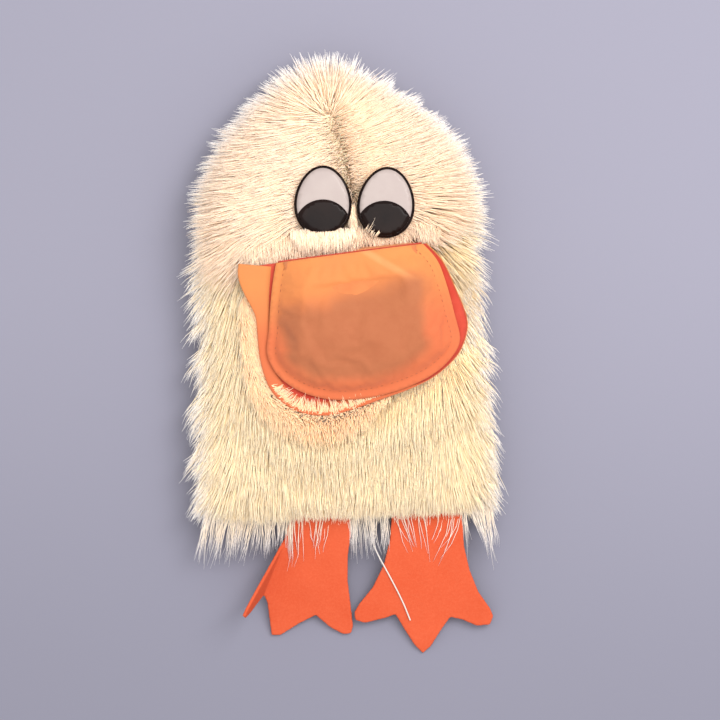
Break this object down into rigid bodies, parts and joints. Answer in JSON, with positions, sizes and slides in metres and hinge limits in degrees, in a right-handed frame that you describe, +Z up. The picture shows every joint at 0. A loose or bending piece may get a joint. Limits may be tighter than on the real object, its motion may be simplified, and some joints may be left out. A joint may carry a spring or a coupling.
{
  "type": "moving mouth hand puppet",
  "caption": "Furry duck hand puppet lying on its back, with a folding cloth bill worked by finger and thumb pockets, flat oval eyes and dangling felt feet.",
  "frame": {"origin": "middle of the surface the puppet lies on, under the centre of its bounding box", "axes": "+Y towards the top of the head, +Z up from the surface, +X to the right of somebody looking down at the face with the head away from them"},
  "size_m": [0.1581, 0.2993, 0.05],
  "materials": {
    "body_fur": "long shaggy pile",
    "head_fur": "long shaggy pile, paler",
    "bill_cloth": "thin smooth cloth",
    "mouth_lining": "smooth cloth",
    "mouth_board": "matte board",
    "felt": "pressed felt",
    "eye_black": "glossy print",
    "eye_white": "glossy print",
    "white_thread": "twisted thread",
    "orange_thread": "twisted thread",
    "wadding": "soft polyester wadding"
  },
  "bodies": {
    "root": {"back_panel": "body_fur", "chest_panel": "body_fur", "head_panel_left": "head_fur", "head_panel_right": "head_fur", "head_wadding": "wadding", "centre_seam_thread": "white_thread", "side_seam_thread": "white_thread", "hem_thread_front": "white_thread", "hem_thread_back": "white_thread", "eye_rim_left": "eye_black", "eye_white_left": "eye_white", "eye_pupil_left": "eye_black", "eye_rim_right": "eye_black", "eye_white_right": "eye_white", "eye_pupil_right": "eye_black", "foot_tab_left": "felt", "foot_tab_right": "felt"},
    "lower_bill": {"lower_bill_cover": "bill_cloth", "thumb_pocket": "bill_cloth", "lower_mouth_board": "mouth_board", "lower_mouth_lining": "mouth_lining", "lower_bill_topstitch": "orange_thread"},
    "upper_bill": {"upper_mouth_lining": "mouth_lining", "upper_mouth_board": "mouth_board", "finger_pocket": "bill_cloth", "upper_bill_cover": "bill_cloth", "upper_bill_topstitch": "orange_thread"},
    "foot_left": {"foot_left": "felt"},
    "foot_right": {"foot_right": "felt", "loose_thread": "white_thread"}
  },
  "joints": [
    {"name": "lower_bill_lift", "type": "hinge", "parent": "root", "child": "lower_bill", "pos_m": [0.0015, 0.0525, 0.031], "axis": [-0.9914, -0.1305, 0], "range_deg": [0, 20]},
    {"name": "mouth_opening", "type": "hinge", "parent": "lower_bill", "child": "upper_bill", "pos_m": [0.0015, 0.0525, 0.0399], "axis": [-0.9914, -0.1305, 0], "range_deg": [0, 60]},
    {"name": "foot_left_swing", "type": "hinge", "parent": "root", "child": "foot_left", "pos_m": [-0.013, -0.0794, 0.0186], "axis": [-1, 0, 0], "range_deg": [-30, 105]},
    {"name": "foot_right_swing", "type": "hinge", "parent": "root", "child": "foot_right", "pos_m": [0.04, -0.0776, 0.0186], "axis": [-1, 0, 0], "range_deg": [-30, 105]}
  ]
}
